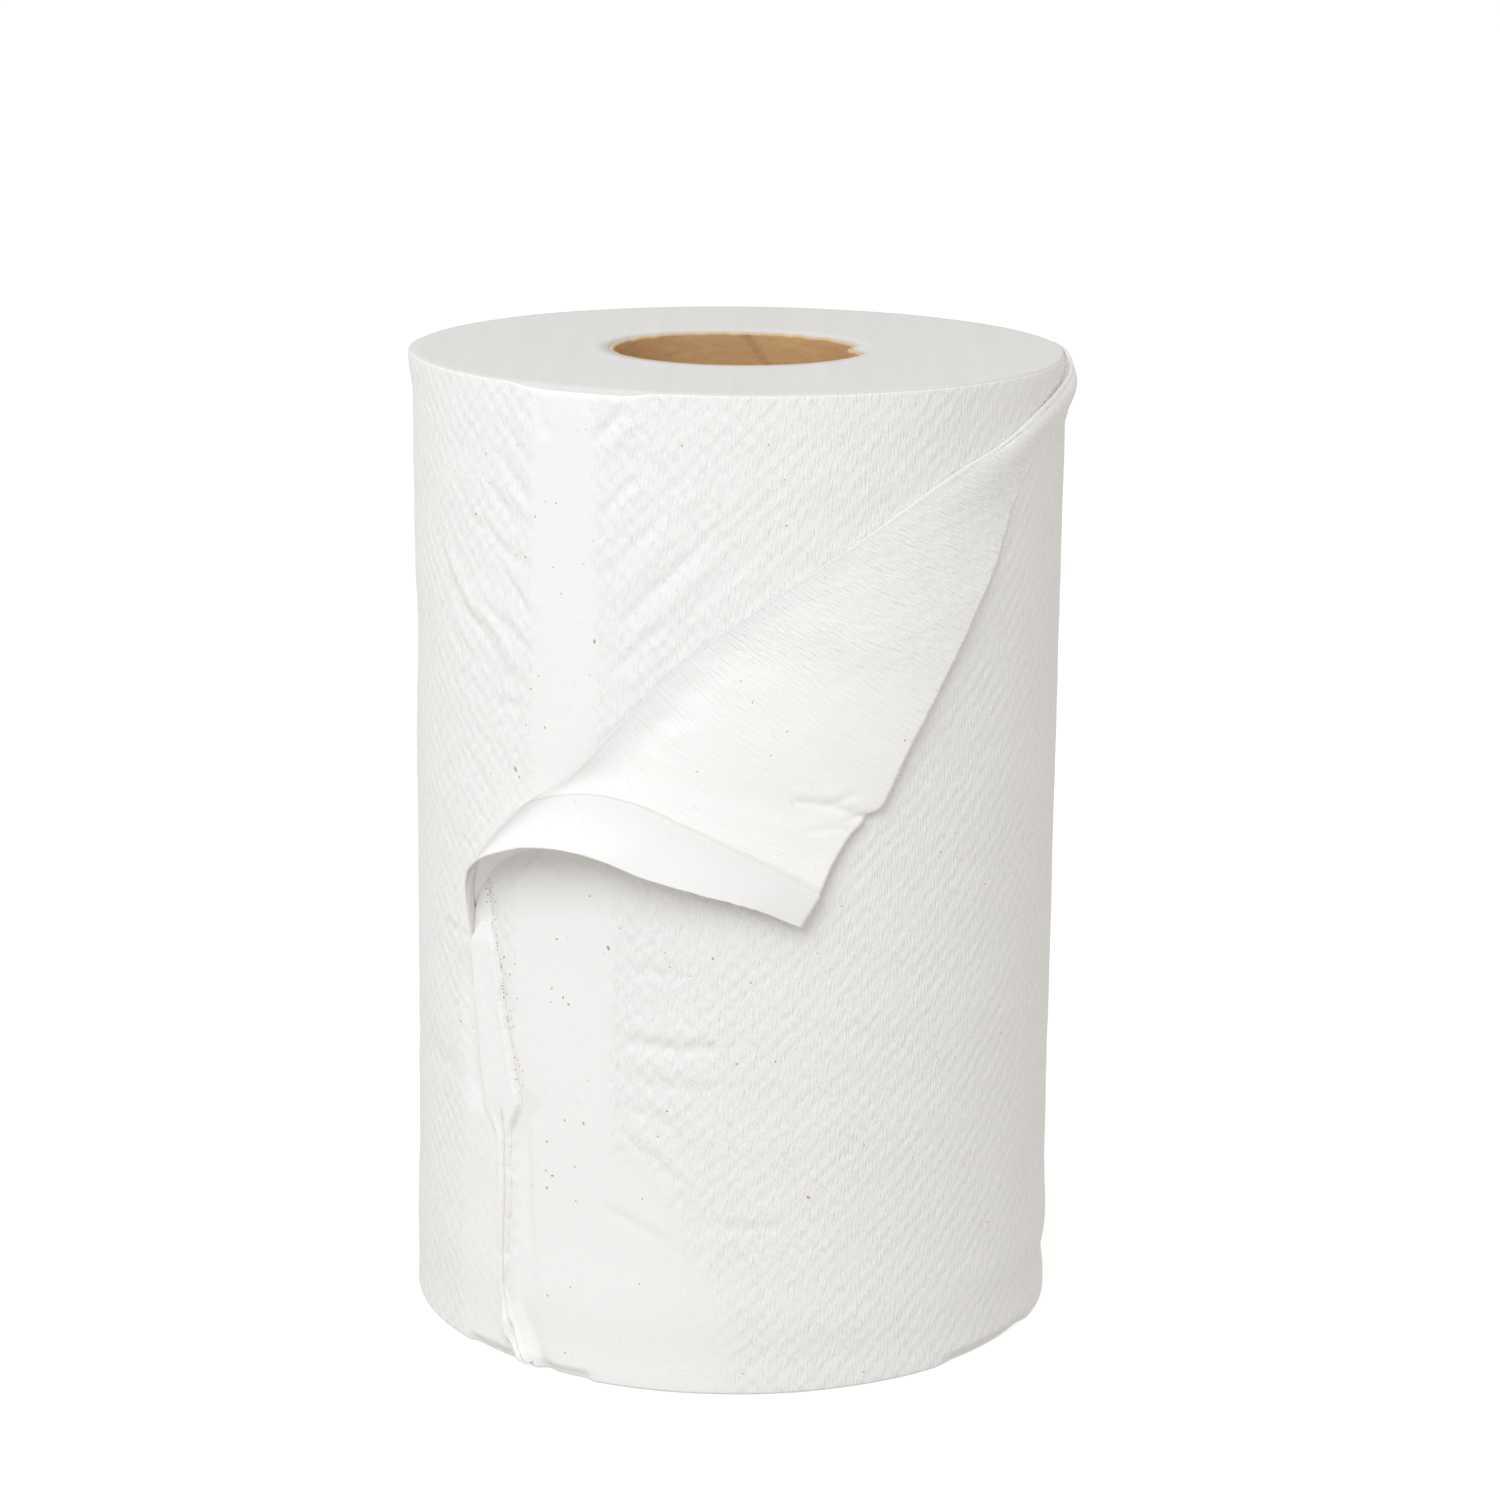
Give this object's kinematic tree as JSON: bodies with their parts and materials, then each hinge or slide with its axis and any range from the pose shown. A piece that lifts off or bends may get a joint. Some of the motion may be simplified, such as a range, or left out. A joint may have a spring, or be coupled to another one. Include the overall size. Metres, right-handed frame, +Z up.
{
  "type": "paper towel roll",
  "caption": "Hard wound roll of embossed paper towel on a cardboard core, standing on its end, with its tail's top corner folded back.",
  "frame": {"origin": "centre of the core's bore at the base that the roll stands on", "axes": "+Z up the bore, -Y towards the front, where the folded corner is, +X to the right seen from the front"},
  "size_m": [0.1346, 0.137, 0.2],
  "materials": {
    "core_board": "matt kraft board",
    "towel_paper": "matt creped tissue with a fine dimple emboss"
  },
  "bodies": {
    "root": {"core": "core_board", "paper_roll": "towel_paper"}
  },
  "joints": []
}
